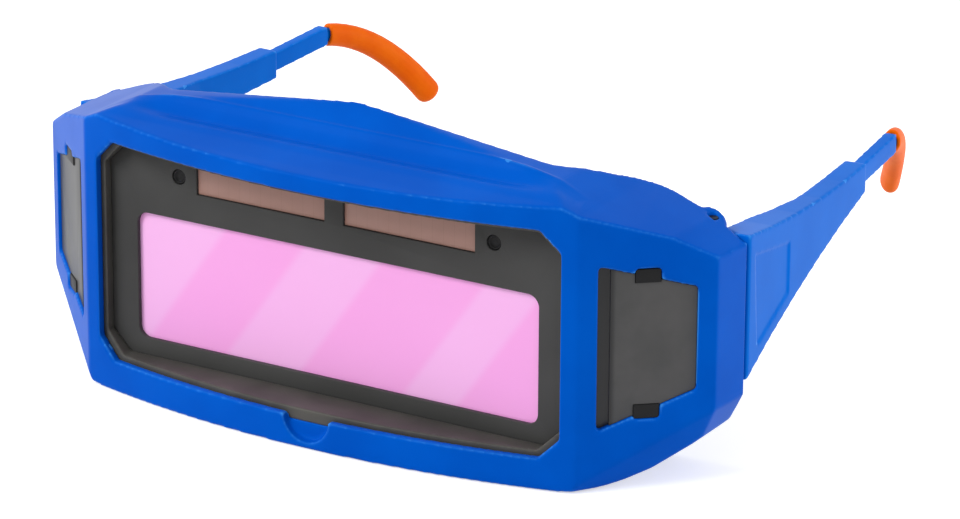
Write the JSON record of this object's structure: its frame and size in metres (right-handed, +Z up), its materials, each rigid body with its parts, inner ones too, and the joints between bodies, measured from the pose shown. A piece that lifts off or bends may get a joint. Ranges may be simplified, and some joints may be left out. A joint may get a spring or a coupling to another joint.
{
  "type": "welding goggles",
  "caption": "Wrap-round welding goggles with a flat self-darkening filter behind a bowed lip, angled side lenses, hinged temples and telescoping arms with soft ear tips.",
  "frame": {"origin": "bottom centre of the whole object's box, with the temples open and the arms at their middle setting", "axes": "+X to the right as seen from the front, +Y from the front face back towards the wearer's ears, +Z up"},
  "size_m": [0.1518, 0.1383, 0.0643],
  "materials": {
    "blue_shell": "moulded satin blue",
    "blue_temple": "moulded satin blue, a little lighter",
    "charcoal": "fine matt charcoal",
    "black_plastic": "matt black",
    "pink_glass": "coated filter glass that looks pink",
    "shutter_glass": "clear liquid-crystal cell with a greenish tint",
    "polariser": "grey polarising film",
    "board": "green solder mask",
    "cell_steel": "plated coin cell can",
    "solar": "amorphous silicon strip, brown-pink",
    "sensor": "dark photodiode window",
    "clear_cover": "clear polycarbonate",
    "dark_lens": "dark welding-shade side lens",
    "soft_black": "soft black elastomer",
    "pin_steel": "plain steel pin",
    "orange_tip": "soft orange silicone"
  },
  "bodies": {
    "frame": {"front_frame": "blue_shell", "filter_bezel": "charcoal", "cartridge_front_case": "charcoal", "cartridge_rear_case": "charcoal", "filter_glass": "pink_glass", "shutter_front": "shutter_glass", "shutter_rear": "shutter_glass", "polariser_films": "polariser", "circuit_board": "board", "backup_cell": "cell_steel", "solar_cell_left": "solar", "solar_cell_right": "solar", "arc_sensor_left": "sensor", "arc_sensor_right": "sensor", "inner_cover_plate": "clear_cover", "cartridge_retainer": "black_plastic", "side_lens_left": "dark_lens", "side_lens_right": "dark_lens", "lens_clips_left": "black_plastic", "lens_clips_right": "black_plastic", "nose_pad": "soft_black", "hinge_pin_left": "pin_steel", "hinge_pin_right": "pin_steel"},
    "temple_left": {"temple_left": "blue_temple"},
    "temple_right": {"temple_right": "blue_temple"},
    "arm_left": {"slide_arm_left": "blue_temple", "ear_tip_left": "orange_tip"},
    "arm_right": {"slide_arm_right": "blue_temple", "ear_tip_right": "orange_tip"}
  },
  "joints": [
    {"name": "temple_hinge_left", "type": "hinge", "parent": "frame", "child": "temple_left", "pos_m": [-0.06833, -0.03441, 0.0315], "axis": [0, 0, -1], "range_deg": [0, 76]},
    {"name": "temple_hinge_right", "type": "hinge", "parent": "frame", "child": "temple_right", "pos_m": [0.06833, -0.03441, 0.0315], "axis": [0, 0, 1], "range_deg": [0, 85]},
    {"name": "arm_slide_left", "type": "slide", "parent": "temple_left", "child": "arm_left", "axis": [0.087, 0.9941, 0.0645], "range_m": [-0.012, 0.008]},
    {"name": "arm_slide_right", "type": "slide", "parent": "temple_right", "child": "arm_right", "axis": [-0.087, 0.9941, 0.0645], "range_m": [-0.012, 0.008]}
  ]
}
